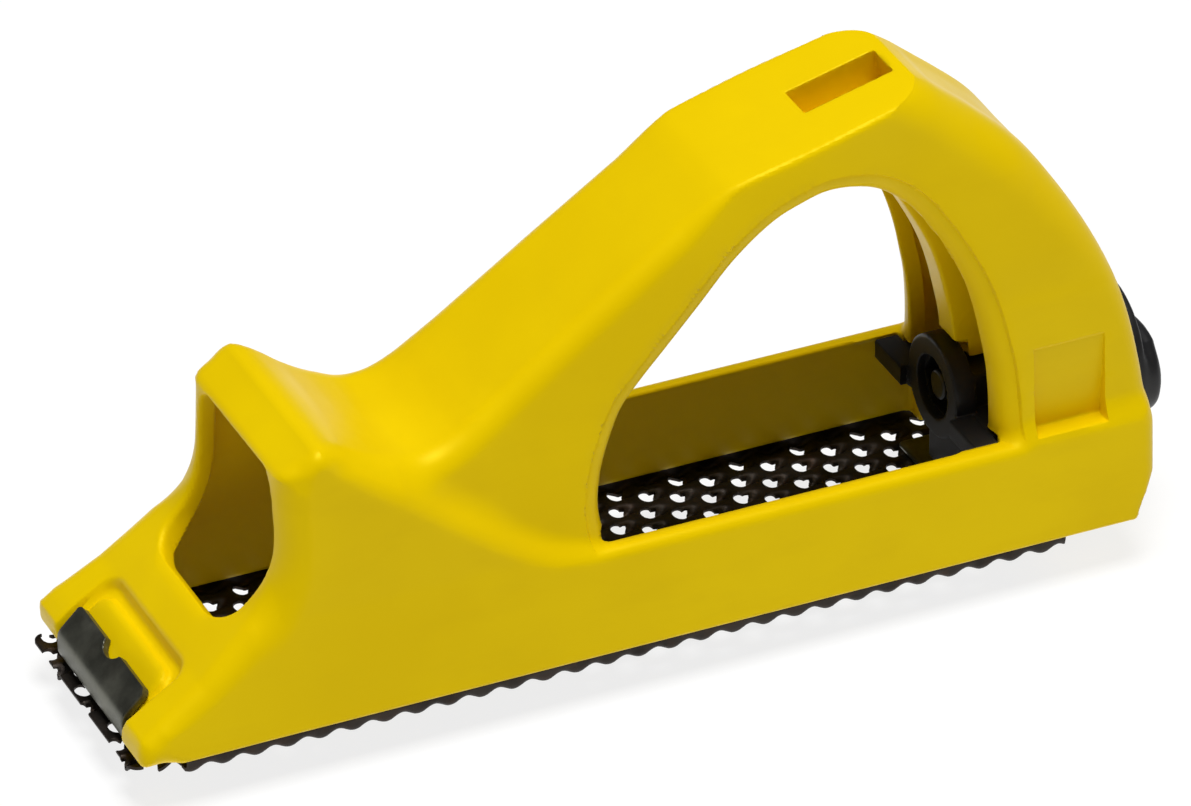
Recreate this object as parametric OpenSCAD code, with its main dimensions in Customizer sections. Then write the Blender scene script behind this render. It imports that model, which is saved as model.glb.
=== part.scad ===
// Block rasp plane: a moulded body that holds a perforated rasp blade, hooked
// over the toe and pulled tight at the heel by a thumbscrew.
// Toe at -X, heel and knob at +X, tooth tips at z = 0, +Z up.

/* [Body] */
// Width of the body across its lower edge
body_w = 41.9; // [40:0.1:44]
// Width of the body across the top of its side walls
rim_w = 37.5; // [35:0.1:39]
// Height of the side walls' top above the tooth tips
rim_z = 18.3; // [16:0.1:20]
// Height of the body's sole above the tooth tips
sole_z = 3.0; // [2.9:0.05:3.2]
// Thickness of the side walls
wall_t = 2.5; // [2:0.1:3]
// Thickness of the handle's outer skin
skin_t = 2.6; // [2:0.1:3]
// Width of the handle's central rib
rib_w = 5; // [4:0.2:6]
// Half width of the lip around the hand hole
lip_y = 12; // [11.5:0.1:12.5]

/* [Front window] */
// Width of the chip window in the nose
window_w = 24.6; // [20:0.2:26]
// Corner radius of the chip window
window_r = 3; // [2:0.5:4]

/* [Handle top] */
// Length of the pocket in the top of the handle
pocket_l = 13.8; // [10:0.2:14]
// Width of the pocket in the top of the handle
pocket_w = 6.1; // [5:0.1:6.4]
// Depth of the pocket
pocket_d = 5.5; // [4:0.5:6]

/* [Blade] */
// Length of the blade strip
blade_l = 140; // [139:0.1:140]
// Width of the blade over its turned-up edges
blade_w = 40.2; // [39:0.1:40.6]
// Thickness of the blade's sheet
sheet_t = 0.7; // [0.6:0.05:0.8]
// Height of the sheet's underside above the tooth tips
sheet_z = 1.0; // [0.9:0.05:1.1]
// Spacing of the tooth columns along the blade
pitch_x = 4.7625; // [4.7:0.0125:4.8]
// Spacing of the teeth across the blade
pitch_y = 4.025; // [4:0.005:4.05]
// Diameter of the round end of each tooth hole
hole_d = 2.1; // [1.6:0.1:2.3]

/* [Blade hooks] */
// Thickness of the hook plates
hook_t = 1.2; // [1:0.1:1.3]
// Width of the hook plates
hook_w = 23.6; // [22:0.2:24]
// Radius of the half-round notch in each hook
notch_r = 2.1; // [1.5:0.1:2.5]

/* [Tension screw] */
// Diameter of the screw
screw_d = 5; // [4.6:0.1:5.1]
// Height of the screw's axis above the tooth tips
screw_z = 18.9; // [18.7:0.1:19.1]
// Outer diameter of the carrier's ring
ring_d = 15.2; // [14:0.2:15.4]
// Width of the nut across its flats
nut_af = 8; // [7.6:0.1:8.2]
// Span of the knob's two wings
knob_span = 24; // [22:0.5:25]

/* [Hidden] */
$fn = 48;

nose_x = -81;          // tips of the two nose ears
heel_x = 72.2;         // rear face of the body
blade_x0 = -81.05;     // front end of the blade
flare = (body_w - rim_w) / 2 / (rim_z - sole_z);
// Half width of the flared sides at height z
function side_y(z) = body_w / 2 - flare * (z - sole_z);

// An outline in the XZ plane, extruded from y = a to y = b
module xz(pts, a, b) translate([0, b, 0]) rotate([90, 0, 0]) linear_extrude(b - a) polygon(pts);
// An outline in the YZ plane, extruded from x = a to x = b
module yz(pts, a, b) translate([a, 0, 0]) rotate([90, 0, 90]) linear_extrude(b - a) polygon(pts);
// A mirrored outline: right half given as [y, z] pairs from the bottom up
function both(h) = concat(h, [for (i = [len(h) - 1:-1:0]) [-h[i][0], h[i][1]]]);
// Quadratic curve between a and c, steered by b, in n steps
function bow(a, b, c, n) = [for (i = [0:n]) let (t = i / n) a * (1 - t) * (1 - t) + b * 2 * t * (1 - t) + c * t * t];
// A strip of thickness t along a path in a plane
function unit(v) = v / norm(v);
function side_n(v) = [-v[1], v[0]];
function path_n(p, i) = let (a = unit(p[max(i, 1)] - p[max(i, 1) - 1]), b = unit(p[min(i, len(p) - 2) + 1] - p[min(i, len(p) - 2)]), m = unit(side_n(a) + side_n(b))) m / (m * side_n(a));
function strip(p, t) = concat([for (i = [0:len(p) - 1]) p[i] + path_n(p, i) * t / 2], [for (i = [len(p) - 1:-1:0]) p[i] - path_n(p, i) * t / 2]);

// ---- Body outlines ----
// Nose slope, window face and horn, then down the shoulder to the wall top
skirt_out = concat(
    [[heel_x - 2.9, sole_z], [nose_x + 1.2, sole_z], [nose_x, 4.4], [nose_x + 0.5, 6.6]],
    [[-70.8, 12.7]], bow([-66, 16.4], [-58.4, 21.4], [-58.1, 29], 6),
    [[-58.1, 39.8], [-57.2, 40.8], [-52.2, 43.3], [-50.7, 43.1]],
    bow([-48.8, 41.0], [-41, 33.2], [-30, 24.8], 6), bow([-26, 21.6], [-21, 18.3], [-14, rim_z], 5),
    [[heel_x - 0.3, rim_z], [heel_x, 10], [heel_x, 8.5], [heel_x - 0.4, 7.1], [heel_x - 2.05, 4.4]]);
skirt_sec = both([[body_w / 2, sole_z], [side_y(rim_z), rim_z], [16.6, 44]]);
// Saddle, front slope, palm top and rear arc
grip_out = concat(
    bow([-50, 42.6], [-43.6, 36.2], [-36, 36.2], 7), [[-33, 36.7], [-30, 38.1]],
    bow([9.8, 65.3], [11.6, 66.6], [13.6, 67.15], 3),
    [[40.2, 74.1]], bow([40.9, 73.9], [43.9, 72.3], [46.1, 70.0], 3), [for (i = [1:7]) let (q = bow([46.1, 70.0], [54.4, 63.4], [60.7, 54.8], 7)) q[i]],
    [for (i = [1:8]) let (q = bow([60.7, 54.8], [66.9, 45.2], [70.4, 33.7], 8)) q[i]], [for (i = [1:4]) let (q = bow([70.4, 33.7], [heel_x, 27.6], [heel_x, 19], 4)) q[i]],
    [[heel_x, 10], [40, rim_z - 4], [-20, rim_z - 2], [-49, 30]]);
grip_sec = both([[17.6, 14], [17.2, 20], [16.7, 26], [15.8, 38], [12.3, 66], [11.6, 78]]);
// Hand hole, seen from the side
hole = concat(
    [[-9.2, 4], [-9.9, 22.5]], bow([-9.9, 25], [-8.4, 34.8], [-3.4, 40], 4),
    bow([5.6, 49], [16.4, 61], [28.3, 61.9], 8), bow([33.4, 61.4], [42.5, 56], [47.4, 39.5], 8),
    [[49.6, 28], [50.6, 17.5], [50.6, 4]]);
// Inner outline of the nose, the saddle and the walls
skirt_in = concat(
    [[-70.4, 0]], [[-70.4, 9.9], [-66.5, 12.6]], bow([-63.4, 15], [-55.7, 20.6], [-55.5, 29], 5),
    [[-55.5, 38], [-53, 39.2]], bow([-50.4, 38.6], [-44.4, 32.7], [-36, 32.6], 5),
    [[-31, 33.9], [-9.1, 49.5], [-9.1, rim_z + 8], [-9.1, 60], [50.4, 60], [50.4, 0]]);
skirt_in_sec = both([[body_w / 2 - wall_t - 0.1, -1], [body_w / 2 - wall_t, sole_z], [side_y(rim_z) - wall_t, rim_z], [14.0, 31], [12.6, 46]]);
// Inner outline of the hollow handle, between its skin and the hand hole
grip_in = concat(
    [[-30, 34.4], [12.6, 63.9], [20, 65.8], [20, 58], [40, 58], [40, 69.2]],
    bow([42.2, 69.1], [45, 68], [48, 64.7], 3), bow([53, 59], [67.4, 40.6], [heel_x - 3, 20], 10),
    [[heel_x - 3, 0], [48, 0], [48, 20], [20, 40], [-9, 20], [-20, 20]]);
grip_in_sec = both([[15.0, -1], [15.0, 3], [13.9, 30], [13.0, 40], [9.6, 66], [9, 78]]);

module nose_window() {
    // Straight cut through the window face from the front
    difference() {
        xz(concat([[-90, 16.9], [-65.6, 16.9], [-60, 19.5], [-50.5, 26], [-50.5, 37.8], [-58.3, 40.5], [-90, 40.5]]), -window_w / 2, window_w / 2);
        for (s = [-1, 1]) translate([-90, s * window_w / 2, 16.9]) difference() {
            translate([0, -window_r, 0]) cube([50, 2 * window_r, window_r]);
            translate([-1, -s * window_r, window_r]) rotate([0, 90, 0]) cylinder(r = window_r, h = 52);
        }
    }
}

module body() color("gold") {
    difference() {
        union() {
            intersection() { xz(skirt_out, -24, 24); yz(skirt_sec, -90, 80); }
            intersection() { xz(grip_out, -24, 24); yz(grip_sec, -90, 80); }
        }
        // hand hole through the handle, between its lips
        xz(concat([for (p = hole) if (p[1] > rim_z) p], [[50.6, rim_z], [-9.2, rim_z]]), -30, 30);
        // room above the blade, open at the sole
        intersection() { xz(skirt_in, -24, 24); yz(skirt_in_sec, -90, 80); }
        // the handle's two hollow sides
        difference() {
            intersection() { xz(grip_in, -24, 24); yz(grip_in_sec, -90, 80); }
            // central rib, down to the carrier
            xz([[-25, 26.9], [51.3, 26.9], [51.5, 24], [90, 24], [90, 90], [-25, 90]], -rib_w / 2, rib_w / 2);
            // lips of the rear leg
            for (s = [-1, 1]) xz([[46, 18.5], [52.4, 18.5], [52.0, 30], [49, 42], [44, 50], [38, 46]], s > 0 ? lip_y : -18, s > 0 ? 18 : -lip_y);
        }
        nose_window();
        // pocket in the palm top
        translate([25.7, 0, 70.2]) rotate([0, -14.8, 0]) translate([0, -pocket_w / 2, -pocket_d]) cube([pocket_l, pocket_w, 20]);
        // shallow recesses in the heel's sides
        for (s = [-1, 1]) translate([55, s > 0 ? 15.2 : -25.2, 19.3]) cube([10.3, 10, 13]);
        // seat between the nose ears for the hook
        xz([[-90, 2], [-90, 20], [-70.9, 12.6], [-71.7, 11.0], [-72.2, 10.7], [-72.7, 10.9], [-73.3, 11.5], [-74.1, 11.3], [-74.9, 10.5], [-74.95, 9.3], [-78.1, 6.1], [-78.35, 5.4], [-78.35, 2]], -12.7, 12.7);
        // room under the nose for the hook's foot
        translate([-79.5, -12.7, 0]) cube([9.2, 25.4, 3.3]);
        // screw hole and flat seat in the heel
        translate([60, 0, screw_z]) rotate([0, 90, 0]) cylinder(d = screw_d + 0.6, h = 20);
        translate([heel_x - 0.6, 0, screw_z]) rotate([0, 90, 0]) cylinder(d = 20, h = 3);
    }
}

// ---- Blade ----
cols = 29;
rows = 9;
slant = pitch_x / 3;
hx0 = blade_x0 + 2.177;
hy0 = 17.372;
function tooth_x(c, j) = hx0 + c * pitch_x - (j + (c % 2) / 2) * slant;
function tooth_y(c, j) = hy0 - (j + (c % 2) / 2) * pitch_y;
module blade_flat() difference() {
    translate([blade_x0, -blade_w / 2]) square([blade_l, blade_w]);
    for (c = [0:cols + 2], j = [0:rows - 1]) let (x = tooth_x(c, j), y = tooth_y(c, j))
        if (x > blade_x0 + 1.6 && x < blade_x0 + blade_l - 2.4 && abs(y) < 17.6) translate([x, y]) {
            circle(d = hole_d, $fn = 16);
            translate([0, -0.75]) square([1.9, 1.4]);
        }
}
module blade() color("dimgray") {
    translate([0, 0, sheet_z]) linear_extrude(sheet_t) blade_flat();
    // turned-up side edges
    for (s = [-1, 1]) translate([blade_x0, s * (blade_w / 2 - 0.35) - 0.35, sheet_z + sheet_t]) cube([blade_l, 0.7, 1.15]);
    // flat-tipped cutting teeth under the sheet
    for (c = [0:cols + 2], j = [0:rows - 1]) let (x = tooth_x(c, j), y = tooth_y(c, j))
        if (x > blade_x0 + 1.6 && x < blade_x0 + blade_l - 2.4 && abs(y) < 17.6)
            xz([[x + 1.9, sheet_z], [x + 2.6, sheet_z], [x + 1.9, 0], [x + 1.4, 0]], y - 0.85, y + 0.75);
}

// ---- Hooks ----
toe_path = [[-71.5, 2.35], [-78.2, 2.35], [-79.05, 2.75], [-79.35, 3.6], [-79.35, 5.5], [-78.95, 6.45], [-75.95, 9.45]];
heel_path = [[49.2, 2.35], [54.65, 2.35], [55.5, 2.75], [55.8, 3.6], [55.8, 5.4], [55.4, 6.3], [51.7, 10.0]];
module hook(path, nx) difference() {
    xz(strip(path, hook_t), -hook_w / 2, hook_w / 2);
    // half-round notch in the upper edge
    translate([nx[0], 0, nx[1]]) rotate([0, nx[2], 0]) translate([0, 0, -4]) cylinder(r = notch_r, h = 8);
}
module toe_hook() color("dimgray") hook(toe_path, [-75.7, 9.7, -45]);
module heel_hook() color("dimgray") hook(heel_path, [51.45, 10.25, 45]);

// ---- Carrier, nut, screw, knob ----
ring_x = 47.7;
nut_x = 4.6;            // depth of the nut behind the ring's face
nut_h = 3.2;
module carrier() color("black") difference() {
    union() {
        // ring in front of the nut
        translate([ring_x, 0, screw_z]) rotate([0, 90, 0]) cylinder(d = ring_d, h = 3.3);
        // block around the nut
        translate([ring_x + 3, -6.4, 11.6]) cube([9.5, 12.8, 12.1]);
        // wings that run under the lips
        translate([ring_x + 2.4, -14, 15]) cube([10.1, 28, 3.3]);
        for (s = [-1, 1]) translate([ring_x - 1.1, s > 0 ? 7.2 : -15.8, 15]) cube([3.6, 8.6, 3.3]);
        // foot reaching under the heel hook
        xz([[49.2, 15], [49.2, 4.2], [49.8, 3.4], [54.4, 3.4], [54.9, 3.9], [54.9, 5.75], [50.9, 9.75], [50.7, 9.75], [50.7, 11.2], [52, 11.9], [52, 15]], -5.2, 5.2);
    }
    // running bore for the screw, then the nut's pocket and its round mouth
    translate([ring_x - 1, 0, screw_z]) rotate([0, 90, 0]) cylinder(d = screw_d + 0.6, h = 30);
    translate([ring_x - 1, 0, screw_z]) rotate([0, 90, 0]) rotate([0, 0, 30]) cylinder(d = nut_af / cos(30) + 0.12, h = 1 + nut_x + nut_h, $fn = 6);
    translate([ring_x - 1, 0, screw_z]) rotate([0, 90, 0]) cylinder(d = 10.4, h = 2.2);
}
module nut() color("silver") translate([ring_x + nut_x, 0, screw_z]) rotate([0, 90, 0]) difference() {
    rotate([0, 0, 30]) cylinder(d = nut_af / cos(30), h = nut_h - 0.05, $fn = 6);
    translate([0, 0, -1]) cylinder(d = screw_d + 0.1, h = 6);
}
module screw() color("silver") translate([ring_x + 0.4, 0, screw_z]) rotate([0, 90, 0]) cylinder(d = screw_d, h = 78.6 - ring_x - 0.4);
module washer() color("silver") translate([heel_x - 0.55, 0, screw_z]) rotate([0, 90, 0]) difference() {
    cylinder(d = 14, h = 1);
    translate([0, 0, -1]) cylinder(d = screw_d + 0.7, h = 4);
}
module knob() color("black") translate([heel_x + 0.55, 0, screw_z]) rotate([0, 90, 0]) difference() {
    union() {
        cylinder(d = 19, h = 3.2);
        translate([0, 0, 3]) cylinder(d = 11, h = 4.8);
        // two wings
        for (s = [-1, 1]) rotate([0, 0, 90]) translate([s * (knob_span / 2 - 6.2), 0, 2.2]) cylinder(r = 6.2, h = 4.4);
        rotate([0, 0, 90]) translate([-6, -5, 2.2]) cube([12, 10, 4.4]);
        translate([0, 0, 6]) cylinder(d1 = 11, d2 = 8, h = 2.3);
    }
    translate([0, 0, -1]) cylinder(d = screw_d, h = 78.6 - heel_x - 0.55 + 1);
}

body();
blade();
toe_hook();
heel_hook();
carrier();
nut();
screw();
knob();
washer();
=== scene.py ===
import math

import bpy
import numpy as np
from mathutils import Matrix


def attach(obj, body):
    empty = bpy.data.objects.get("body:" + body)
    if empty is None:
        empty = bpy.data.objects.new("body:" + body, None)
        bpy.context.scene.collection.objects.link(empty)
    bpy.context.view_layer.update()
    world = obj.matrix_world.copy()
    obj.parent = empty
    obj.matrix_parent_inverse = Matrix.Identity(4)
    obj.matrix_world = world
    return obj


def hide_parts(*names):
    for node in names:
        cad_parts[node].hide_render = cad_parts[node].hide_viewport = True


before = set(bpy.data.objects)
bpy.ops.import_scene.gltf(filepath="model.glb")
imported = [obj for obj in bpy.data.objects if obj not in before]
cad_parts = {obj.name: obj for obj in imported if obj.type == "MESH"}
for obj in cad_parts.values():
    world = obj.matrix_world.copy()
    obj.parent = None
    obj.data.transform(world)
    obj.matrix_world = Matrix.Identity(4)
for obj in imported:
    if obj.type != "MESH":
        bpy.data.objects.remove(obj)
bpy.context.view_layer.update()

F = np.float32
MM = 0.001

# ---------------------------------------------------------------------------
# Shape kit: distance fields in millimetres, negative inside, and a mesher.
# ---------------------------------------------------------------------------


def curve(pts, step=1.0):
    """Points along a smooth curve through pts (centripetal Catmull-Rom)."""
    p = np.asarray(pts, float)
    p = np.vstack([2 * p[0] - p[1], p, 2 * p[-1] - p[-2]])
    out = [p[1]]
    for i in range(1, len(p) - 2):
        p0, p1, p2, p3 = p[i - 1], p[i], p[i + 1], p[i + 2]
        t0 = 0.0
        t1 = t0 + np.linalg.norm(p1 - p0) ** 0.5
        t2 = t1 + np.linalg.norm(p2 - p1) ** 0.5
        t3 = t2 + np.linalg.norm(p3 - p2) ** 0.5
        n = max(1, int(round(np.linalg.norm(p2 - p1) / step)))
        for k in range(1, n + 1):
            t = t1 + (t2 - t1) * k / n
            a1 = (t1 - t) / (t1 - t0) * p0 + (t - t0) / (t1 - t0) * p1
            a2 = (t2 - t) / (t2 - t1) * p1 + (t - t1) / (t2 - t1) * p2
            a3 = (t3 - t) / (t3 - t2) * p2 + (t - t2) / (t3 - t2) * p3
            b1 = (t2 - t) / (t2 - t0) * a1 + (t - t0) / (t2 - t0) * a2
            b2 = (t3 - t) / (t3 - t1) * a2 + (t - t1) / (t3 - t1) * a3
            out.append((t2 - t) / (t2 - t1) * b1 + (t - t1) / (t2 - t1) * b2)
    return [tuple(q) for q in out]


def poly(x, z, pts, closed=True):
    """Distance from an outline, negative inside if it is closed."""
    p = np.asarray(pts, F)
    x, z = np.broadcast_arrays(np.asarray(x, F), np.asarray(z, F))
    d = np.full(x.shape, 1e12, F)
    inside = np.zeros(x.shape, bool)
    for i in range(0 if closed else 1, len(p)):
        ax, az = p[i - 1]
        bx, bz = p[i]
        ex, ez = bx - ax, bz - az
        ll = ex * ex + ez * ez
        if ll < 1e-10:
            continue
        wx, wz = x - ax, z - az
        t = np.clip((wx * ex + wz * ez) / ll, 0, 1)
        qx, qz = wx - ex * t, wz - ez * t
        np.minimum(d, qx * qx + qz * qz, out=d)
        if closed and az != bz:
            hit = ((az <= z) != (bz <= z)) & (x < ax + (z - az) * F(ex / ez))
            inside ^= hit
    d = np.sqrt(d)
    return np.where(inside, -d, d)


class Outline:
    """An outline's signed distance, kept on a fine grid and read smoothly."""

    def __init__(self, pts, lo, hi, h=0.25, closed=True):
        self.lo = (lo[0] - 2 * h, lo[1] - 2 * h)
        self.h = h
        x = np.arange(self.lo[0], hi[0] + 3 * h, h, dtype=F)
        z = np.arange(self.lo[1], hi[1] + 3 * h, h, dtype=F)
        self.v = np.ascontiguousarray(poly(x[:, None], z[None, :], pts, closed))

    def __call__(self, x, z):
        x, z = np.broadcast_arrays(np.asarray(x, F), np.asarray(z, F))
        a = np.clip((x - F(self.lo[0])) / F(self.h), 1, self.v.shape[0] - 3.001)
        b = np.clip((z - F(self.lo[1])) / F(self.h), 1, self.v.shape[1] - 3.001)
        i, j = a.astype(np.int32), b.astype(np.int32)
        wa, wb = self.weights(a - i), self.weights(b - j)
        flat = self.v.ravel()
        w = self.v.shape[1]
        at = (i - 1) * w + (j - 1)
        out = np.zeros(x.shape, F)
        for m in range(4):
            row = np.zeros(x.shape, F)
            for n in range(4):
                row += wb[n] * flat[at + (m * w + n)]
            out += wa[m] * row
        return out

    @staticmethod
    def weights(t):
        """Cubic B-spline weights, which smooth away the outline's small flats."""
        s = 1 - t
        return (s * s * s / 6, (3 * t * t * t - 6 * t * t + 4) / 6, (3 * s * s * s - 6 * s * s + 4) / 6, t * t * t / 6)


def both(a, b, r):
    """Solid where a and b both are, with outer edges rounded to r."""
    u = np.maximum(a + r, 0)
    v = np.maximum(b + r, 0)
    return np.minimum(np.maximum(a, b), -r) + np.sqrt(u * u + v * v)


def either(a, b, r):
    """Solid where a or b is, with the inner corner filled to r."""
    u = np.maximum(r - a, 0)
    v = np.maximum(r - b, 0)
    return np.maximum(np.minimum(a, b), r) - np.sqrt(u * u + v * v)


def cut(a, b, r):
    return both(a, -b, r)


def ramp(x, a, b):
    """0 at a, 1 at b, smooth between."""
    t = np.clip((x - a) / (b - a), 0, 1)
    return t * t * (3 - 2 * t)


def table(x, xs, ys):
    return np.interp(x, xs, ys).astype(F)


_smooth = {}


def smooth(x, xs, ys):
    """A smooth curve through a few values."""
    key = (tuple(xs), tuple(ys))
    if key not in _smooth:
        c = np.array(curve(list(zip(xs, ys)), 0.5))
        _smooth[key] = (np.maximum.accumulate(c[:, 0]), c[:, 1])
    return np.interp(x, *_smooth[key]).astype(F)


def values(f, lo, hi, h, mirror):
    x = np.arange(lo[0], hi[0] + h, h, dtype=F)
    z = np.arange(lo[2], hi[2] + h, h, dtype=F)
    if mirror:
        m = int(np.ceil(hi[1] / h))
        y = (np.arange(m) + 0.5).astype(F) * F(h)
        v = np.empty((len(x), 2 * m, len(z)), F)
        half = f(x[:, None, None], y[None, :, None], z[None, None, :])
        v[:, m:] = half
        v[:, :m] = half[:, ::-1]
        return v, np.array([x[0], -(m - 0.5) * h, z[0]])
    y = np.arange(lo[1], hi[1] + h, h, dtype=F)
    v = f(x[:, None, None], y[None, :, None], z[None, None, :])
    return np.ascontiguousarray(v, dtype=F), np.array([x[0], y[0], z[0]])


def slope(f, p, e=0.05):
    """The field's gradient at points p."""
    x, y, z = (p[:, i].astype(F) for i in range(3))
    e = F(e)
    g = np.stack([f(x + e, y, z) - f(x - e, y, z), f(x, y + e, z) - f(x, y - e, z), f(x, y, z + e) - f(x, y, z - e)], 1)
    return g.astype(float) / (2 * float(e))


def unit(g):
    return g / np.maximum(np.linalg.norm(g, axis=-1, keepdims=True), 1e-9)


def contour(f, lo, hi, h, mirror=False):
    """Dual contouring: (points, quads) of the field's surface, with its edges kept."""
    v, org = values(f, lo, hi, h, mirror)
    s = v < 0
    cells = np.array(v.shape) - 1
    stride = np.array([cells[1] * cells[2], cells[2], 1])
    pts, owners, rows = [], [], []
    for axis in range(3):
        a, va = np.moveaxis(s, axis, 0), np.moveaxis(v, axis, 0)
        hit = np.argwhere(a[:-1, 1:-1, 1:-1] != a[1:, 1:-1, 1:-1]) + [0, 1, 1]
        i, j, k = hit.T
        v0, v1 = va[i, j, k].astype(float), va[i + 1, j, k].astype(float)
        order = [0, 1, 2]
        order.remove(axis)
        base = np.empty((len(hit), 3))
        base[:, axis], base[:, order[0]], base[:, order[1]] = i, j, k
        t0, t1 = np.zeros(len(hit)), np.ones(len(hit))
        for step in range(3):
            t = t0 + (t1 - t0) * np.clip(v0 / (v0 - v1), 0.02, 0.98)
            p = base.copy()
            p[:, axis] += t
            p = org + p * h
            if step == 2:
                break
            vm = f(*(p[:, n].astype(F) for n in range(3))).astype(float)
            same = (vm < 0) == (v0 < 0)
            t0, v0 = np.where(same, t, t0), np.where(same, vm, v0)
            t1, v1 = np.where(same, t1, t), np.where(same, v1, vm)
            flat = v0 == v1
            v0 = np.where(flat, v0 - 1e-6, v0)
        o = base.astype(np.int64)
        at = o @ stride
        s1, s2 = stride[order[0]], stride[order[1]]
        ring = np.stack([at - s1 - s2, at - s2, at, at - s1], 1)
        flip = ~a[i, j, k]
        if axis == 1:
            flip = ~flip
        pts.append(p)
        owners.append(ring)
        rows.append(flip)
    p = np.concatenate(pts)
    ring = np.concatenate(owners)
    flip = np.concatenate(rows)
    n = unit(slope(f, p))
    used, inv = np.unique(ring, return_inverse=True)
    inv = inv.reshape(ring.shape)
    count = np.zeros(len(used))
    mass = np.zeros((len(used), 3))
    total = np.zeros((len(used), 3))
    for c in range(4):
        w = inv[:, c]
        count += np.bincount(w, minlength=len(used))
        for d in range(3):
            mass[:, d] += np.bincount(w, weights=p[:, d], minlength=len(used))
            total[:, d] += np.bincount(w, weights=n[:, d], minlength=len(used))
    mid = mass / count[:, None]
    spread = np.linalg.norm(total, axis=1) / count
    sharp = spread < 0.985
    moved = mid.copy()
    idx = np.full(len(used), -1)
    idx[sharp] = np.arange(sharp.sum())
    m = int(sharp.sum())
    if m:
        ata = np.zeros((m, 3, 3))
        atb = np.zeros((m, 3))
        for c in range(4):
            w = inv[:, c]
            on = sharp[w]
            w2, nn, pp = idx[w[on]], n[on], p[on] - mid[w[on]]
            b = (nn * pp).sum(1)
            for d in range(3):
                atb[:, d] += np.bincount(w2, weights=nn[:, d] * b, minlength=m)
                for e in range(3):
                    ata[:, d, e] += np.bincount(w2, weights=nn[:, d] * nn[:, e], minlength=m)
        ev, vec = np.linalg.eigh(ata)
        keep = ev > 0.09 * ev[:, -1:]
        q = np.einsum("nij,ni->nj", vec, atb)
        q = np.where(keep, q / np.maximum(ev, 1e-9), 0)
        x = np.einsum("nij,nj->ni", vec, q)
        cell = np.stack(np.unravel_index(used[sharp], cells), 1)
        low = org + (cell - 0.15) * h
        high = org + (cell + 1.15) * h
        moved[sharp] = np.clip(mid[sharp] + x, low, high)
    # the rest settles on the surface
    soft = np.nonzero(~sharp)[0]
    for _ in range(2):
        g = slope(f, moved[soft])
        d = f(*(moved[soft][:, c].astype(F) for c in range(3))).astype(float)
        moved[soft] -= g * np.clip(d / np.clip((g * g).sum(1), 0.3, 3), -0.3 * h, 0.3 * h)[:, None]
    quads = inv.copy()
    quads[flip] = quads[flip][:, ::-1]
    return moved, quads


def tidy(p, q):
    """Drops loose crumbs: keeps the largest connected piece."""
    parent = np.arange(len(p))
    lab = parent
    a, b = q[:, [0, 1, 2, 3]].ravel(), q[:, [1, 2, 3, 0]].ravel()
    while True:
        low = lab.copy()
        np.minimum.at(low, a, lab[b])
        np.minimum.at(low, b, lab[a])
        low = low[low]
        if (low == lab).all():
            break
        lab = low
    most = np.bincount(lab).argmax()
    keep = lab == most
    new = np.cumsum(keep) - 1
    q = q[keep[q[:, 0]]]
    return p[keep], new[q]


def faces_of(mesh):
    n = len(mesh.loops)
    corner = np.empty(n, np.int32)
    mesh.loops.foreach_get("vertex_index", corner)
    size = np.empty(len(mesh.polygons), np.int32)
    mesh.polygons.foreach_get("loop_total", size)
    return corner, np.repeat(np.arange(len(size)), size), size


def shade(mesh, f, unit_mm=True):
    """Corner normals taken from the field, so that edges stay crisp and curves stay smooth."""
    co = np.empty(len(mesh.vertices) * 3)
    mesh.vertices.foreach_get("co", co)
    co = co.reshape(-1, 3)
    corner, face, size = faces_of(mesh)
    vn = unit(slope(f, co, 0.07))
    fn = np.empty(len(mesh.polygons) * 3)
    mesh.polygons.foreach_get("normal", fn)
    fn = fn.reshape(-1, 3)
    # even out the smooth part over the mesh
    for _ in range(2):
        total = np.zeros_like(vn)
        mean = np.zeros((len(size), 3))
        for d in range(3):
            mean[:, d] = np.bincount(face, weights=vn[corner][:, d], minlength=len(size)) / size
        mean = unit(mean)
        near = (mean[face] * vn[corner]).sum(1) > 0.97
        for d in range(3):
            total[:, d] = np.bincount(corner, weights=mean[face][:, d] * near, minlength=len(vn))
        has = np.bincount(corner, weights=near, minlength=len(vn))[:, None]
        vn = unit(np.where(has > 0, vn + 1.5 * total / np.maximum(has, 1), vn))
    cn = vn[corner]
    off = (cn * fn[face]).sum(1) < math.cos(math.radians(14))
    if off.any():
        mid = np.zeros((len(size), 3))
        for d in range(3):
            mid[:, d] = np.bincount(face, weights=co[corner][:, d], minlength=len(size)) / size
        way = mid[face[off]] - co[corner[off]]
        far = np.linalg.norm(way, axis=1, keepdims=True)
        at = co[corner[off]] + way / np.maximum(far, 1e-9) * np.minimum(0.6 * far, 0.22)
        g = unit(slope(f, at, 0.05))
        good = (g * fn[face[off]]).sum(1) > 0.3
        cn[off] = np.where(good[:, None], g, fn[face[off]])
    mesh.polygons.foreach_set("use_smooth", np.ones(len(size), bool))
    mesh.normals_split_custom_set(cn.tolist())


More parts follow.
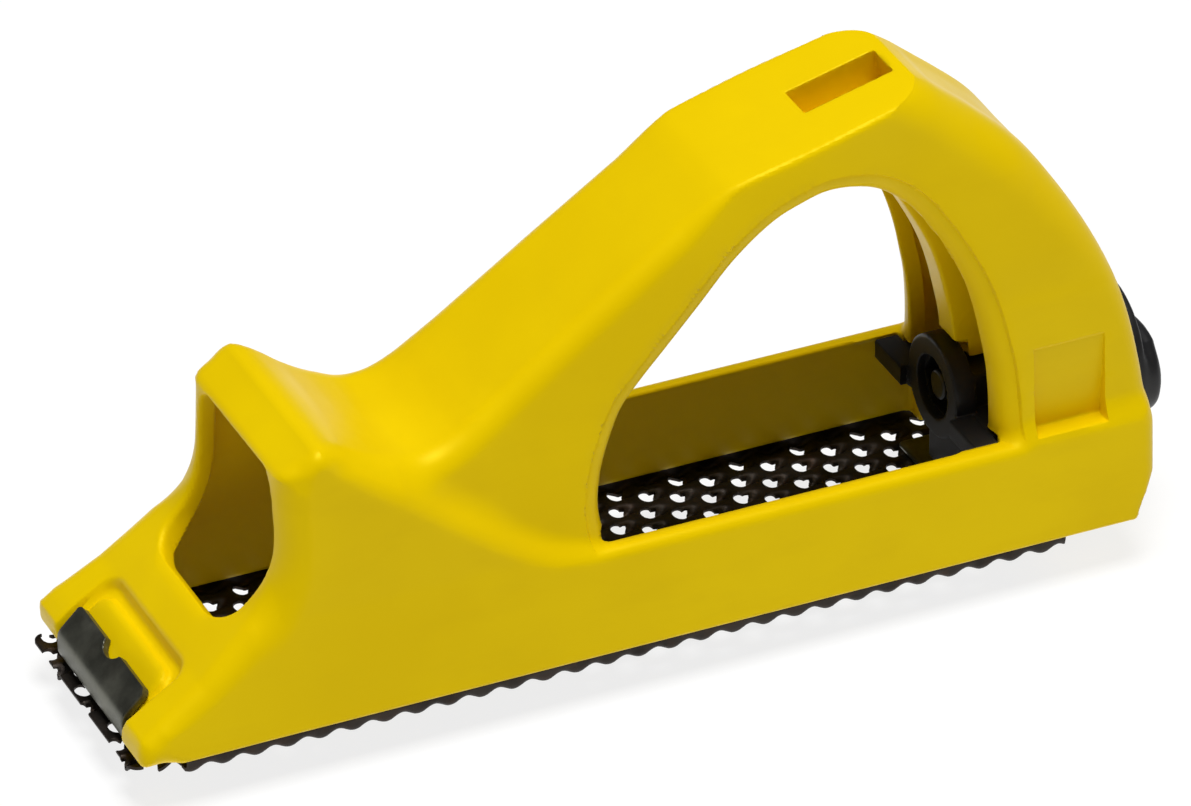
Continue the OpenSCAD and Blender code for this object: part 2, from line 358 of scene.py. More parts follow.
def make(name, f, lo, hi, h, mirror=False, limit=190000, move=None):
    """A mesh object of the field's surface, in metres."""
    p, q = contour(f, lo, hi, h, mirror)
    p, q = tidy(p, q)
    if move:
        p[:, 0] += move(*p.T)
    mesh = bpy.data.meshes.new(name)
    mesh.vertices.add(len(p))
    mesh.vertices.foreach_set("co", p.astype(F).ravel())
    mesh.loops.add(len(q) * 4)
    mesh.loops.foreach_set("vertex_index", q.astype(np.int32).ravel())
    mesh.polygons.add(len(q))
    mesh.polygons.foreach_set("loop_start", np.arange(0, len(q) * 4, 4, dtype=np.int32))
    mesh.update(calc_edges=True)
    mesh.validate()
    obj = bpy.data.objects.new(name, mesh)
    bpy.context.scene.collection.objects.link(obj)
    if 2 * len(q) > limit:
        mod = obj.modifiers.new("thin", "DECIMATE")
        mod.ratio = limit / (2 * len(q))
        graph = bpy.context.evaluated_depsgraph_get()
        slim = bpy.data.meshes.new_from_object(obj.evaluated_get(graph))
        obj.modifiers.clear()
        obj.data = slim
        bpy.data.meshes.remove(mesh)
        mesh = slim
        mesh.name = name
    shade(mesh, (lambda x, y, z: f(x - move(x, y, z).astype(F), y, z)) if move else f)
    mesh.transform(Matrix.Scale(MM, 4))
    return obj


# ---------------------------------------------------------------------------
# The moulded body
# ---------------------------------------------------------------------------

SKIRT = (
    [(69.6, 3.0), (-60.0, 3.1), (-79.3, 3.0), (-80.0, 3.1), (-80.45, 3.5), (-80.6, 4.3), (-80.45, 5.6), (-80.0, 6.7)]
    + [(-76.7, 8.95)]
    + curve([(-70.8, 12.7), (-67.0, 15.9), (-64.0, 18.5), (-61.6, 20.7), (-59.9, 22.9), (-58.6, 25.7), (-58.0, 28.8), (-57.9, 31.5)], 0.4)
    + [(-57.9, 38.9), (-57.7, 39.9), (-57.0, 40.6), (-52.8, 43.0), (-51.8, 43.3), (-50.9, 42.95)]
    + curve([(-50.0, 42.2), (-47.2, 38.9), (-41.1, 33.4), (-35.4, 29.1), (-31.0, 25.8), (-26.9, 22.6), (-23.8, 20.7), (-21.0, 19.5), (-18.1, 18.6), (-14.0, 18.3)], 0.4)
    + [(71.6, 18.3), (72.2, 17.0), (72.2, 9.6), (72.05, 8.3), (71.6, 7.0), (70.3, 4.6), (70.0, 3.5)]
)
GRIP = (
    curve([(-52.2, 42.8), (-50.4, 43.0), (-48.0, 41.9), (-45.3, 39.9), (-42.2, 38.0), (-39.4, 36.9), (-36.6, 36.4), (-33.4, 36.7), (-30.1, 38.0), (-27.0, 40.0), (-23.0, 42.7)], 0.4)
    + [(-10.0, 52.0), (5.0, 62.4)]
    + curve([(8.4, 64.8), (10.8, 66.2), (13.6, 67.15)], 0.4)
    + [(40.6, 74.15)]
    + curve([(42.8, 72.75), (46.0, 70.2), (50.4, 66.5), (56.1, 61.1), (60.7, 54.8), (64.9, 47.7), (68.3, 40.3), (70.4, 33.7), (72.0, 26.1), (72.8, 20.5), (73.1, 12.0)], 0.4)
    + [(73.1, 10.0), (60.0, 10.0), (40.0, 14.0), (-20.0, 14.0), (-49.0, 30.0), (-52.5, 38.0)]
)
REAR = (
    [(-60.0, 90.0), (22.0, 90.0)]
    + curve([(30.0, 81.0), (36.0, 77.0), (39.5, 74.9), (42.8, 72.75), (46.0, 70.2), (50.4, 66.5), (56.1, 61.1), (60.7, 54.8), (64.9, 47.7), (68.3, 40.3), (70.4, 33.7), (72.0, 26.1), (72.8, 20.5), (73.1, 12.0)], 0.4)
    + [(73.1, -10.0), (-60.0, -10.0)]
)
HOLE_FRONT = [(-9.6, 18.0), (-10.3, 23.0), (-9.7, 27.9), (-8.1, 32.7), (-6.0, 37.0), (-3.3, 40.1), (0.9, 44.3), (6.2, 49.6), (11.6, 55.0), (17.6, 59.4)]
HOLE = (
    [(-9.3, -8.0), (-9.4, 15.0)]
    + curve(HOLE_FRONT + [(21.5, 61.0), (25.0, 61.9), (28.9, 61.7), (33.2, 60.3), (37.4, 57.1), (40.7, 52.6), (43.6, 47.7), (45.8, 43.2), (47.3, 38.9), (48.6, 33.7), (49.4, 30.0), (50.0, 24.6), (50.3, 18.4)], 0.4)
    + [(50.4, -8.0)]
)
SKIRT_IN = (
    [(-70.4, -3.0), (-70.4, 9.9)]
    + curve([(-66.5, 12.6), (-62.6, 15.7), (-59.0, 19.4), (-56.6, 24.0), (-55.6, 29.0)], 0.5)
    + [(-55.5, 31.0), (-55.5, 38.0), (-53.0, 39.2)]
    + curve([(-51.0, 38.4), (-48.0, 36.3), (-44.0, 34.2), (-40.0, 33.0), (-36.0, 32.7)], 0.5)
    + [(-31.0, 34.0), (-20.0, 41.8), (-20.0, 20.0), (44.0, 20.0), (44.0, 18.45), (50.4, 18.45), (50.4, 15.6), (53.6, 15.6), (53.6, -3.0)]
)
GRIP_IN = (
    [(-30.0, 34.4), (12.6, 63.8), (20.0, 65.6), (20.0, 58.0), (40.0, 58.0), (40.0, 69.2)]
    + curve([(42.2, 68.6), (46.0, 65.9), (50.5, 61.6), (55.5, 54.9), (59.8, 47.9), (63.6, 40.9), (66.4, 33.5), (68.4, 26.0), (69.2, 20.0)], 0.5)
    + [(69.2, -3.0), (43.0, -3.0), (43.0, 36.0), (20.0, 40.0), (-9.0, 20.0), (-20.0, 20.0)]
)
SKIRT_OPEN = [(70.0, -40.0), (-79.2, -40.0)] + SKIRT[3:-1]
SPAN = ((-84.0, 0.5), (75.0, 77.0))
skirt_d = Outline(SKIRT, *SPAN)
grip_d = Outline(GRIP, *SPAN)
rear_d = Outline(REAR, *SPAN)
hole_d = Outline(HOLE, *SPAN)
skirt_in_d = Outline(SKIRT_IN, *SPAN)
grip_in_d = Outline(GRIP_IN, *SPAN)
skirt_open_d = Outline(SKIRT_OPEN, *SPAN)


def skirt_half(z):
    return table(z, [3.0, 16.0, 20.0, 43.0], [20.96, 19.08, 18.56, 16.6])


def grip_half(x, z):
    xs = [-52, -47, -40.8, -35.2, -32.7, -24.2, -15.1, -6, 3.1, 11.7, 18, 25.4, 32.8, 38, 45]
    wc = smooth(x, xs, [15.3, 15.1, 14.7, 14.2, 13.9, 13.1, 12.65, 12.3, 11.95, 11.5, 11.7, 12.0, 12.0, 11.6, 11.3])
    zc = smooth(x, xs, [42.0, 39.5, 36.5, 35.3, 35.4, 40.8, 47.2, 53.7, 60.1, 66.3, 68.1, 70.1, 71.7, 72.5, 70])
    front = wc + 0.15 * (zc - z)
    front = np.minimum(front, 17.2 - 0.02 * (z - 14))
    rear = smooth(z, [10, 14, 20, 26, 32, 38, 46, 56, 66, 74], [17.6, 17.5, 17.2, 16.75, 16.3, 15.75, 14.85, 13.45, 12.0, 11.3])
    t = ramp(x, 11.0, 40.0)
    return front * (1 - t) + rear * t


def window(x, y, z):
    """The chip window's opening, seen from the front."""
    half = smooth(z, [12, 17, 20, 24, 28, 32, 36, 38.5, 40.3, 44], [10.8, 11.4, 12.0, 12.5, 12.8, 12.7, 12.2, 11.6, 10.9, 10.0])
    side = np.abs(y) - half
    low = (table(x, [-90, -65.6, -63.0, -50], [16.85, 16.85, 13.8, 13.8]) - z) * 0.8
    top = z - 39.3
    return both(both(side, low, 5.0), top, 1.6)


def nose_cut(x, ay, z):
    """Space in front of the pad where the hook plate lies."""
    slant = -((z - 9.3) - (x + 74.95)) * 0.7071
    return np.maximum(ay - 12.7, np.minimum(np.where(z > 6.0, slant, 9.0), x + 78.35))


def lean(x, y, z):
    return 1.3 * ramp(y, 8.0, 13.0) * ramp(x, -75.0, -79.4) * (1 - ramp(z, 3.6, 9.0))


def body_field(x, y, z):
    x, y, z = (np.asarray(v, F) for v in (x, y, z))
    ay = np.abs(y)
    side_s = (ay - skirt_half(z)) * 0.99
    # nose corners are broad, the crease along the shoulder is tight
    r = table(x, [-81, -79.5, -76, -70, -63, -59, -55, -52, -48, 62], [1.9, 2.1, 2.5, 2.8, 3.4, 5.0, 4.5, 2.2, 1.4, 1.3])
    r = r + (1.9 - r) * ramp(z, 38.5, 41.0) * (0.6 + 0.4 * ramp(x, -54.8, -52.4))
    r = 0.6 + (r - 0.6) * np.maximum(ramp(z, 4.2, 9.0 + 4.0 * ramp(x, -76.0, -66.0)), ramp(x, -74.0, -78.0))
    profile = skirt_d(x, z)
    skirt = both(profile, side_s, r)
    # handle
    g = grip_d(x, z)
    rg = table(x, [-52, -47, -38, -30, -20, 4, 10.6, 12], [1.2, 3.0, 3.9, 3.2, 2.9, 2.6, 1.2, 0.8])
    # the rear arc is rounder than the palm's edges and rounds the palm's end in plan
    rb = table(x, [30, 42, 48, 56, 62, 66, 69, 72], [5.8, 6.0, 6.2, 5.5, 4.0, 3.0, 2.4, 2.0])
    # a slightly recessed band follows the hand hole
    h = hole_d(x, z)
    side_g = ay - grip_half(x, z)
    band = (side_g + 0.5 * ramp(h, 3.0, 2.7)) * 0.985
    grip = np.maximum(both(g, band, rg), both(rear_d(x, z) + 0.35 * ramp(ay, 7.5, 2.5) * ramp(x, 42.5, 45.0) * ramp(x, 60.0, 54.0), band, rb))
    grip = cut(grip, h, table(x, [30, 44], [2.6, 3.7]))
    # joined with a fillet; the shoulder stays inside the skirt's side plane
    rf = table(x, [-60, -50, -40, -26, -18, -9, 50.5, 54.5, 75], [0.3, 1.5, 5.5, 5.5, 3.6, 0.9, 1.0, 4.0, 4.0])
    t = ramp(x, -14, -6) * (1 - ramp(x, 49, 53))
    solid = both(either(profile, grip, rf), side_s, r) * (1 - t) + either(skirt, grip, rf) * t
    # inside of the nose and walls
    wide = both(either(skirt_open_d(x, z), grip, rf), side_s, r)
    t = ramp(x, -16, -9.6)
    wide = wide * (1 - t) + side_s * t
    room = both(skirt_in_d(x, z), wide + 2.48, 1.2)
    solid = cut(solid, room, 0.45)
    # hollow handle with its rib and lips
    hollow = both(grip_in_d(x, z), np.maximum(side_g * 0.985 + 2.6, ay - 15.0), 1.6)
    rib_low = table(x, [51.8, 52.1], [27.1, 24.1])
    rib = np.maximum(ay - 2.5, rib_low - z)
    lip = np.maximum(np.maximum(12.0 - ay, h - 2.4), 18.5 - z)
    keep = np.minimum(rib, np.maximum(lip, 44 - x))
    hollow = cut(hollow, keep, 0.5)
    solid = cut(solid, hollow, 0.45)
    # window
    solid = np.where(x < -44, cut(solid, np.maximum(window(x, y, z), x + 51.5), 0.9), solid)
    # pocket in the palm top
    c, s = np.cos(np.radians(14.8)), np.sin(np.radians(14.8))
    px, pz = x - 25.7, z - 70.2
    u, v = px * c + pz * s, -px * s + pz * c
    pocket = both(both(np.abs(u - 6.9) - 6.9, ay - 3.05, 0.35), -5.5 - v, 0.4)
    solid = cut(solid, pocket, 0.3)
    # recess in each side of the heel
    dent = both(both(np.abs(x - 60.5) - 5.5, table(z, [18.8, 32.2], [15.3, 16.02]) - ay, 0.3), np.abs(z - 25.5) - 6.7, 0.3)
    solid = cut(solid, dent, 0.15)
    # seat between the nose's ears: groove round a pad
    along = (x + 70.8) * 0.8496 + (z - 12.6) * 0.5275
    up = -(x + 70.8) * 0.5275 + (z - 12.6) * 0.8496
    gap = both(ay - 12.7, along + 0.1, 2.6)
    groove = both(gap, -up - 1.35, 1.2)
    pad = both(both(ay - 11.3, along + 2.3, 2.4), up - 0.1, 1.3)
    solid = np.where(x < -66, cut(cut(solid, both(groove, -pad, 0.7), 0.9), nose_cut(x, ay, z), 0.6), solid)
    # room under the nose for the hook's foot, screw hole and seat in the heel
    foot = np.maximum(np.maximum(ay - 12.7, z - 3.4), x + 70.0)
    solid = cut(solid, foot, 0.2)
    rad = np.sqrt(y * y + (z - 18.9) ** 2)
    solid = cut(solid, np.maximum(rad - 2.8, 60 - x), 0.2)
    solid = cut(solid, np.maximum(rad - 10.0, 71.6 - x), 0.2)
    solid = cut(solid, np.maximum(rad - 11.8, 72.2 - x), 0.2)
    return solid


# ---------------------------------------------------------------------------
# The blade strip
# ---------------------------------------------------------------------------

X0 = -81.05
LEN = 140.0
PX, PY = 4.7625, 4.025
HX, HY = X0 + 2.177, 17.372


def holes(x, y):
    """(opening, dip) of the nearest teeth at points of the sheet."""
    w = (HY - y) / (PY / 2)
    u = (x - HX + (HY - y) * (PX / 3) / PY) / PX
    p, q = (u + w) / 2, (u - w) / 2
    open_d = np.full(np.broadcast(x, y).shape, 9.0, F)
    dip = np.zeros_like(open_d)
    for a in (0, 1):
        for b in (-1, 0, 1):
            pi, qi = np.floor(p) + a, np.floor(q + 0.5) + b
            c, m = pi + qi, pi - qi
            hx = HX + c * PX - m * (PX / 6)
            hy = HY - m * (PY / 2)
            real = (np.abs(hy) < 17.6) & (hx > X0 - 1.6) & (hx < X0 + LEN + 1.0)
            dx, dy = x - hx, y - hy
            ring = (np.sqrt((dx / 1.08) ** 2 + (dy / 1.48) ** 2) - 1) * 1.1
            tail = np.maximum(np.maximum(np.abs(dy - 0.1) - 0.85, -dx), dx - 1.15 - 0.4 * np.minimum(dy * dy / 0.7, 1.0))
            o = np.minimum(ring, tail)
            open_d = np.minimum(open_d, np.where(real, o, 9.0))
            wide = np.cos(np.clip(dy / 1.55, -1, 1) * (np.pi / 2)) ** 2
            fall = (1 - ramp(dx, 1.3, 3.6)) * ramp(dx, -0.2, 1.1)
            dip = np.maximum(dip, np.where(real, wide * fall, 0))
    return open_d, dip.astype(F)


def blade_field(x, y, z):
    x, y, z = (np.asarray(v, F) for v in (x, y, z))
    ay = np.abs(y)
    o, dip = holes(x, y)
    wave = 0.5 + 0.5 * np.cos((x + 73.0) * (2 * np.pi / PX))
    edge = ramp(ay, 17.7, 19.2) * (1 - ramp(z, 1.5, 2.2))
    down = np.maximum(dip, 0.0) * 1.15 + wave * edge * 0.85
    zz = z + down
    qx, qz = ay - 18.87, zz - 2.28
    arc = np.abs(np.sqrt(qx * qx + qz * qz) - 0.85)
    up = np.abs(qx - 0.85)
    d = np.where(qx < 0, np.abs(zz - 1.43), np.where(qz > 0, up, arc)) - 0.25
    d = both(d, zz - 2.85, 0.2)
    d = np.where(qx < -3, np.abs(zz - 1.43) - 0.25, d)
    d = d * 0.8
    ends = np.maximum(X0 - x, x - (X0 + LEN))
    d = both(d, ends, 0.15)
    d = np.maximum(d, both(np.where(y < 0, ay - table(x, [X0 + 6.4, X0 + 8.2], [17.2, 22.0]), ay - table(x, [X0 + 4.2, X0 + 6.2], [18.7, 22.0])), X0 - x, 1.8) * 0.8)
    return cut(d, o * 0.9, 0.08)


# ---------------------------------------------------------------------------
# Hooks
# ---------------------------------------------------------------------------

toe_path = Outline([(-71.5, 2.35), (-78.0, 2.35)] + curve([(-78.2, 2.36), (-78.95, 2.7), (-79.33, 3.5)], 0.1) + curve([(-79.35, 3.8), (-79.35, 5.5), (-79.2, 6.1), (-78.85, 6.55)], 0.1) + [(-75.95, 9.45)], (-83, -1), (-70, 12), 0.1, closed=False)
heel_path = Outline([(49.2, 2.35), (54.4, 2.35)] + curve([(54.65, 2.36), (55.4, 2.7), (55.78, 3.5)], 0.1) + curve([(55.8, 3.8), (55.8, 5.4), (55.65, 5.95), (55.3, 6.4)], 0.1) + [(51.7, 10.0)], (47, -1), (58, 13), 0.1, closed=False)


def hook_field(path, nx, nz, side):
    def f(x, y, z):
        x, y, z = (np.asarray(v, F) for v in (x, y, z))
        ay = np.abs(y)
        across = ((x - nx) * side - (z - nz)) * 0.7071
        lift = ((x - nx) * side + (z - nz)) * 0.7071
        d = both(path(x, z) - 0.59, ay - 11.63, 0.3)
        # small corner rounding of the upstanding plate
        corner = both(ay - 11.63, np.where(z > 5, lift + 0.36, -9.0), 1.2)
        d = np.maximum(d, np.where(z > 5, corner, -9.0))
        rad = np.sqrt(y * y + (lift - 0.9) ** 2) - 2.8
        return cut(d, np.maximum(rad, 5.0 - z), 0.2)
    return f


# ---------------------------------------------------------------------------
# Carrier, nut, screw, knob, washer
# ---------------------------------------------------------------------------

RX, SZ = 47.7, 18.9


def hexa(y, z, af):
    """Hexagon across flats af, round the screw's axis, flats facing +-y at 90 degrees."""
    a, b = np.abs(y), np.abs(z - SZ)
    return np.maximum(b * 0.8660 + a * 0.5, a) - af / 2


def hexb(y, z, af):
    a, b = np.abs(y), np.abs(z - SZ)
    return np.maximum(a * 0.8660 + b * 0.5, b) - af / 2


def carrier_field(x, y, z):
    x, y, z = (np.asarray(v, F) for v in (x, y, z))
    ay = np.abs(y)
    rad = np.sqrt(y * y + (z - SZ) ** 2)
    ring = both(rad - 7.6, np.maximum(RX - x, x - (RX + 3.3)), 0.45)
    block = both(both(ay - 6.4, np.maximum(RX + 3 - x, x - (RX + 12.5)), 0.6), np.maximum(11.6 - z, z - 23.3), 0.5)
    rear = both(np.maximum(ay - 13.9, np.maximum(RX + 2.4 - x, x - (RX + 12.4))), np.maximum(15.0 - z, z - 18.05), 0.35)
    side = np.maximum(table(x, [RX - 0.15, RX + 0.15], [7.7, 6.2]) - ay, ay - 15.75)
    wing = both(np.maximum(side, np.maximum(RX - 1.1 - x, x - (RX + 2.55))), np.maximum(15.0 - z, z - 18.05), 0.35)
    foot = both(foot_d(x, z), ay - 5.2, 0.4)
    d = either(either(either(ring, block, 0.5), foot, 0.6), np.minimum(rear, wing), 0.3)
    # shallow step round the mouth, then the nut's pocket and running bore
    d = cut(d, np.maximum(rad - 4.7, x - (RX + 1.2)), 0.25)
    d = cut(d, np.maximum(hexb(y, z, 8.1), x - (RX + 7.8)), 0.1)
    return cut(d, np.maximum(rad - 2.8, 40 - x), 0.15)


foot_d = Outline([(50.0, 15), (50.0, 4.2), (50.6, 3.4), (54.4, 3.4), (54.9, 3.9), (54.9, 5.75), (50.9, 9.75), (50.8, 10.2), (50.8, 11.2), (52, 11.9), (52, 15)], (42, 0), (60, 28), 0.1)


def nut_field(x, y, z):
    x, y, z = (np.asarray(v, F) for v in (x, y, z))
    rad = np.sqrt(y * y + (z - SZ) ** 2)
    a, b = RX + 4.62, RX + 7.74
    d = both(hexb(y, z, 7.9), np.maximum(a - x, x - b), 0.1)
    # turned chamfers on both faces
    d = np.maximum(d, (rad - 4.35 + np.maximum(a + 0.5 - x, x - b + 0.5) * 1.7) * 0.5)
    return cut(d, np.maximum(rad - 2.58, -9.0), 0.25)


def screw_field(x, y, z):
    x, y, z = (np.asarray(v, F) for v in (x, y, z))
    yy, zz = y, z - SZ
    rad = np.sqrt(yy * yy + zz * zz)
    turn = np.arctan2(zz, yy) / (2 * np.pi)
    phase = (x / 1.0 + turn) % 1.0
    tri = np.abs(phase - 0.5) * 2
    groove = np.clip((tri - 0.12) / 0.76, 0, 1)
    keep = ramp(x, RX + 0.9, RX + 1.6)
    d = (rad - 2.46 + 0.5 * (1 - groove) * keep + 0.25 * (1 - keep)) * 0.75
    tip = np.maximum(RX + 0.75 - x, x - 78.0)
    return both(d, tip, 0.35)


def knob_field(x, y, z):
    x, y, z = (np.asarray(v, F) for v in (x, y, z))
    u = x - 72.75
    yy, zz = np.abs(y), z - SZ
    rad = np.sqrt(yy * yy + zz * zz)
    flange = both(rad - 11.1, np.maximum(0.02 - u, u - 3.1), 0.7)
    # two broad lobes, turned a little out of level
    c, s_ = np.cos(np.radians(15.0)), np.sin(np.radians(15.0))
    a, b = y * c - zz * s_ * -1.0, zz * c - y * s_
    a = np.abs(a)
    lobe = np.sqrt((a - 5.05) ** 2 + b * b) - 6.6
    plan = either(lobe, np.maximum(a - 5.0, np.abs(b) - 4.6), 3.5)
    wing = both(plan, np.maximum(1.5 - u, u - 5.6), 1.2)
    # finger hollow across each lobe's face and a low boss in the middle
    dish = np.sqrt((a - 8.0) ** 2 + b * b + (u - 11.4) ** 2) - 6.6
    boss = both(rad - 4.4, np.maximum(4.0 - u, u - 6.0), 0.6)
    d = either(either(flange, cut(wing, dish, 0.5), 0.8), boss, 0.5)
    return cut(d, np.maximum(rad - 2.52, u - 5.4), 0.2)


def washer_field(x, y, z):
    x, y, z = (np.asarray(v, F) for v in (x, y, z))
    rad = np.sqrt(y * y + (z - SZ) ** 2)
    d = both(rad - 7.0, np.maximum(71.65 - x, x - 72.65), 0.18)
    return cut(d, rad - 2.85, 0.15)


# ---------------------------------------------------------------------------
# Materials
# ---------------------------------------------------------------------------


class Tree:
    """A short way to write a node material."""

    def __init__(self, name):
        self.mat = bpy.data.materials.new(name)
        self.mat.use_nodes = True
        self.t = self.mat.node_tree
        self.t.nodes.clear()
        self.out = self.t.nodes.new("ShaderNodeOutputMaterial")
        self.b = self.t.nodes.new("ShaderNodeBsdfPrincipled")
        self.t.links.new(self.b.outputs[0], self.out.inputs[0])

    def node(self, kind, **k):
        n = self.t.nodes.new("ShaderNode" + kind)
        for a, v in k.items():
            if hasattr(n, a):
                setattr(n, a, v)
            else:
                n.inputs[a.replace("_", " ")].default_value = v
        return n

    def link(self, a, b):
        self.t.links.new(a, b)

    def noise(self, scale, detail=3.0, rough=0.5, stretch=(1, 1, 1), kind="TexNoise"):
        co = self.node("TexCoord")
        mp = self.node("Mapping")
        mp.inputs["Scale"].default_value = stretch
        self.link(co.outputs["Object"], mp.inputs["Vector"])
        n = self.node(kind)
        n.inputs["Scale"].default_value = scale
        if "Detail" in n.inputs:
            n.inputs["Detail"].default_value = detail
        if "Roughness" in n.inputs:
            n.inputs["Roughness"].default_value = rough
        self.link(mp.outputs[0], n.inputs["Vector"])
        return n.outputs[0]

    def ramp(self, fac, stops):
        n = self.node("ValToRGB")
        while len(n.color_ramp.elements) < len(stops):
            n.color_ramp.elements.new(0.5)
        for e, (at, col) in zip(n.color_ramp.elements, stops):
            e.position = at
            e.color = (*col, 1) if len(col) == 3 else col
        self.link(fac, n.inputs[0])
        return n.outputs[0]

    def span(self, fac, a, b, lo=0.0, hi=1.0):
        n = self.node("MapRange")
        n.inputs["From Min"].default_value = lo
        n.inputs["From Max"].default_value = hi
        n.inputs["To Min"].default_value = a
        n.inputs["To Max"].default_value = b
        self.link(fac, n.inputs["Value"])
        return n.outputs[0]

    def mix(self, fac, a, b, kind="MIX"):
        n = self.node("Mix", data_type="RGBA", blend_type=kind)
        for v, i in ((fac, 0), (a, 6), (b, 7)):
            if isinstance(v, (tuple, list)):
                n.inputs[i].default_value = (*v, 1) if len(v) == 3 else v
            elif isinstance(v, (int, float)):
                n.inputs[i].default_value = v
            else:
                self.link(v, n.inputs[i])
        return n.outputs[2]

    def bump(self, heights, strength=0.2, distance=0.0001):
        last = None
        for h, s, d in heights:
            n = self.node("Bump")
            n.inputs["Strength"].default_value = s
            n.inputs["Distance"].default_value = d
            self.link(h, n.inputs["Height"])
            if last is not None:
                self.link(last, n.inputs["Normal"])
            last = n.outputs[0]
        self.link(last, self.b.inputs["Normal"])


def srgb(r, g, b):
    return tuple((c / 255 / 12.92) if c <= 10 else (((c / 255) + 0.055) / 1.055) ** 2.4 for c in (r, g, b))


def yellow_plastic():
    m = Tree("body_plastic")
    large = m.noise(28, 3, 0.55)
    fine = m.noise(900, 3, 0.6)
    flow = m.noise(60, 4, 0.6, (1, 1, 3))
    col = m.mix(m.span(large, 0, 1, 0.35, 0.65), srgb(236, 200, 0), srgb(243, 208, 0))
    col = m.mix(m.span(flow, 0.0, 0.25, 0.5, 0.75), col, srgb(229, 192, 0))
    m.link(col, m.b.inputs["Base Color"])
    m.link(m.span(flow, 0.33, 0.45, 0.3, 0.7), m.b.inputs["Roughness"])
    m.b.inputs["IOR"].default_value = 1.49
    m.b.inputs["Specular IOR Level"].default_value = 0.4
    m.b.inputs["Specular Tint"].default_value = (1.0, 0.84, 0.05, 1)
    m.bump([(large, 0.25, 0.0003), (fine, 0.10, 0.00002)])
    return m.mat


def steel(name, dark, mid, rust, rough=(0.35, 0.6), metallic=0.85, rusty=0.35):
    m = Tree(name)
    blot = m.noise(130, 5, 0.62)
    grain = m.noise(1800, 2, 0.5, (0.15, 1, 1))
    pits = m.noise(2600, 3, 0.7)
    col = m.mix(m.span(blot, 0, 1, 0.35, 0.68), dark, mid)
    spot = m.noise(240, 4, 0.7)
    col = m.mix(m.span(spot, 0, rusty, 0.48, 0.72), col, rust)
    m.link(col, m.b.inputs["Base Color"])
    m.link(m.span(blot, rough[0], rough[1], 0.3, 0.7), m.b.inputs["Roughness"])
    m.b.inputs["Metallic"].default_value = metallic
    m.bump([(grain, 0.12, 0.00002), (pits, 0.12, 0.00002)])
    return m.mat


def black_plastic():
    m = Tree("black_plastic")
    large = m.noise(60, 3, 0.5)
    fine = m.noise(1500, 3, 0.6)
    m.link(m.mix(m.span(large, 0, 1, 0.35, 0.65), (0.010, 0.010, 0.011), (0.017, 0.017, 0.018)), m.b.inputs["Base Color"])
    m.link(m.span(large, 0.34, 0.48, 0.3, 0.7), m.b.inputs["Roughness"])
    m.b.inputs["Specular IOR Level"].default_value = 0.32
    m.bump([(fine, 0.12, 0.00002)])
    return m.mat


MATERIALS = {
    "body_plastic": yellow_plastic(),
    "blade_steel": steel("blade_steel", (0.020, 0.016, 0.013), (0.050, 0.042, 0.036), (0.075, 0.035, 0.018)),
    "hook_steel": steel("hook_steel", (0.075, 0.077, 0.060), (0.17, 0.17, 0.135), (0.06, 0.05, 0.035), (0.3, 0.5)),
    "black_plastic": black_plastic(),
    "plated_steel": steel("plated_steel", (0.05, 0.05, 0.048), (0.09, 0.09, 0.088), (0.06, 0.05, 0.04), (0.25, 0.42), 1.0, 0.15),
}

# ---------------------------------------------------------------------------
# Pieces
# ---------------------------------------------------------------------------


def piece(name, node, body, slot, f, lo, hi, h, mirror=False, coarse=None, limit=190000, move=None):
    obj = make(name, f, lo, hi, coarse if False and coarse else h, mirror, limit, move)
    obj.data.materials.append(MATERIALS[slot])
    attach(obj, body)
    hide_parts(node)
    return obj


piece("body_shell", "body", "frame", "body_plastic", body_field, (-82.5, -22, 1.5), (74, 22, 75.5), 0.5, True, 0.8, move=lean)
piece("blade_sheet", "blade", "blade_strip", "blade_steel", blade_field, (-82, -21, -0.8), (60, 21, 3.8), 0.3, False, 0.45)
piece("toe_hook_plate", "toe_hook", "blade_strip", "hook_steel", hook_field(toe_path, -75.7, 9.7, 1.0), (-81, -12.5, 0.8), (-70.5, 12.5, 11.2), 0.3)
piece("heel_hook_plate", "heel_hook", "blade_strip", "hook_steel", hook_field(heel_path, 51.45, 10.25, -1.0), (48, -12.5, 0.8), (57.5, 12.5, 11.6), 0.3)
piece("carrier_block", "carrier", "slider", "black_plastic", carrier_field, (45.6, -16.8, 2.4), (61.2, 16.8, 27.5), 0.35)
piece("lock_nut", "nut", "slider", "plated_steel", nut_field, (51.4, -5.4, 13.4), (56.4, 5.4, 24.4), 0.22)
piece("tension_screw", "screw", "thumbscrew", "plated_steel", screw_field, (47.2, -3.2, 15.7), (79.4, 3.2, 22.1), 0.16)
piece("wing_knob", "knob", "thumbscrew", "black_plastic", knob_field, (72.0, -13, 6.4), (80.0, 13, 31.4), 0.3)
piece("seat_washer", "washer", "frame", "plated_steel", washer_field, (71.0, -7.8, 11.1), (73.4, 7.8, 26.7), 0.2)

# ---------------------------------------------------------------------------
# Floor, light, camera
# ---------------------------------------------------------------------------

scene = bpy.context.scene

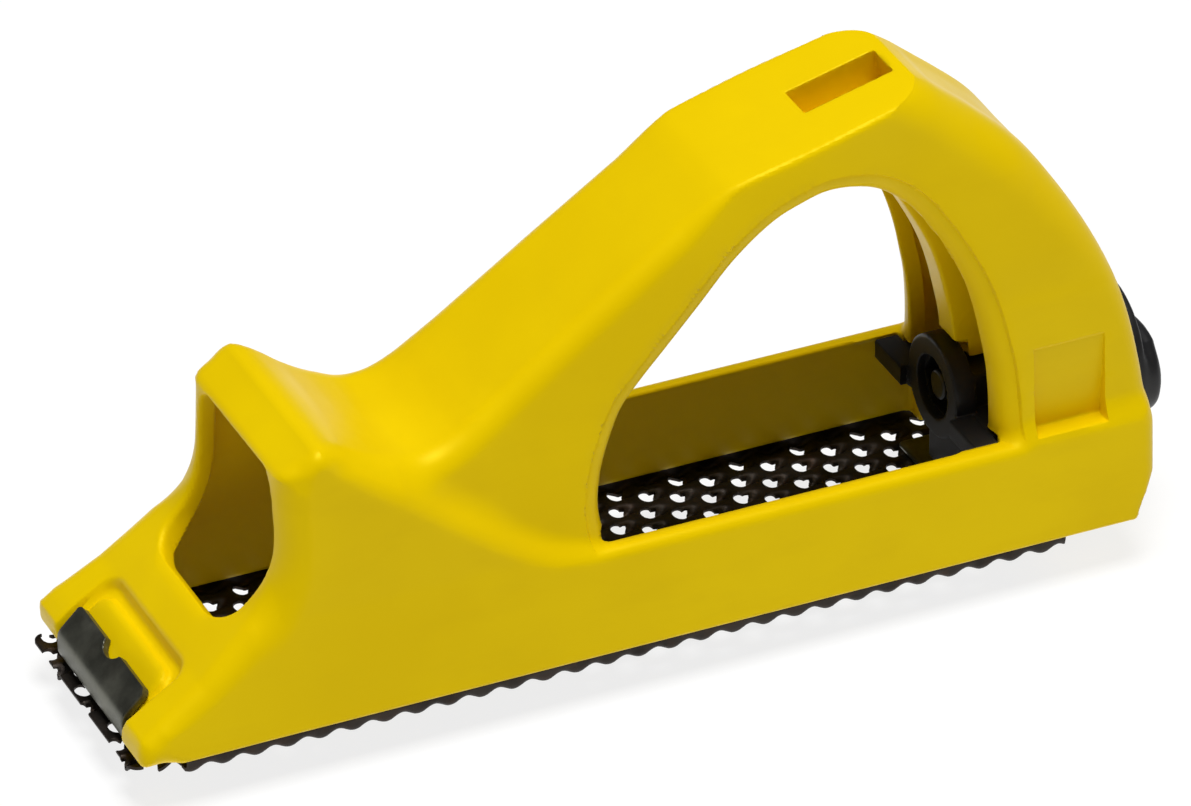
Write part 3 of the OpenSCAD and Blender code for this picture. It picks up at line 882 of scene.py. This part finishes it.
floor_mesh = bpy.data.meshes.new("floor")
S = 6.0
floor_mesh.from_pydata([(-S, -S, 0), (S, -S, 0), (S, S, 0), (-S, S, 0)], [], [(0, 1, 2, 3)])
floor = bpy.data.objects.new("floor", floor_mesh)
scene.collection.objects.link(floor)
floor.location.z = -0.0045
paper = bpy.data.materials.new("floor_paper")
paper.use_nodes = True
pb = paper.node_tree.nodes["Principled BSDF"]
pb.inputs["Base Color"].default_value = (0.2, 0.2, 0.2, 1)
pb.inputs["Roughness"].default_value = 0.9
pb.inputs["Emission Color"].default_value = (1, 1, 1, 1)
pb.inputs["Emission Strength"].default_value = 0.82
floor_mesh.materials.append(paper)

world = bpy.data.worlds.new("studio")
scene.world = world
world.use_nodes = True
bg = world.node_tree.nodes["Background"]
bg.inputs[0].default_value = (1, 1, 1, 1)
bg.inputs[1].default_value = 0.05


def softbox(name, at, target, size, power, colour=(1, 1, 1)):
    lamp = bpy.data.lights.new(name, "AREA")
    lamp.shape = "RECTANGLE"
    lamp.size, lamp.size_y = size
    lamp.energy = power
    lamp.color = colour
    o = bpy.data.objects.new(name, lamp)
    scene.collection.objects.link(o)
    o.location = at
    d = np.array(target, float) - np.array(at, float)
    z = -d / np.linalg.norm(d)
    x = np.cross((0, 0, 1.0), z)
    x /= np.linalg.norm(x)
    y = np.cross(z, x)
    o.matrix_world = Matrix(((x[0], y[0], z[0], at[0]), (x[1], y[1], z[1], at[1]), (x[2], y[2], z[2], at[2]), (0, 0, 0, 1)))
    return o


softbox("key", (0.0, -0.1, 1.2), (0, 0, 0.03), (0.6, 0.6), 14.8)
softbox("front", (-0.2, -1.2, 0.7), (0, 0, 0.03), (1.0, 0.6), 0.25)

cam_data = bpy.data.cameras.new("camera")
cam_data.sensor_width = 36.0
cam_data.lens = 9293.76 / 1191 * 36.0
cam_data.clip_start = 0.05
cam_data.clip_end = 20
cam = bpy.data.objects.new("camera", cam_data)
scene.collection.objects.link(cam)
right = (0.90757, -0.41989, 0.0)
upv = (0.22326, 0.48256, 0.84692)
back = (-0.35562, -0.76865, 0.53170)
loc = (-0.4578, -0.9805, 0.7081)
cam.matrix_world = Matrix(((right[0], upv[0], back[0], loc[0]), (right[1], upv[1], back[1], loc[1]), (right[2], upv[2], back[2], loc[2]), (0, 0, 0, 1)))
scene.camera = cam
scene.view_settings.view_transform = "Standard"
scene.view_settings.look = "None"
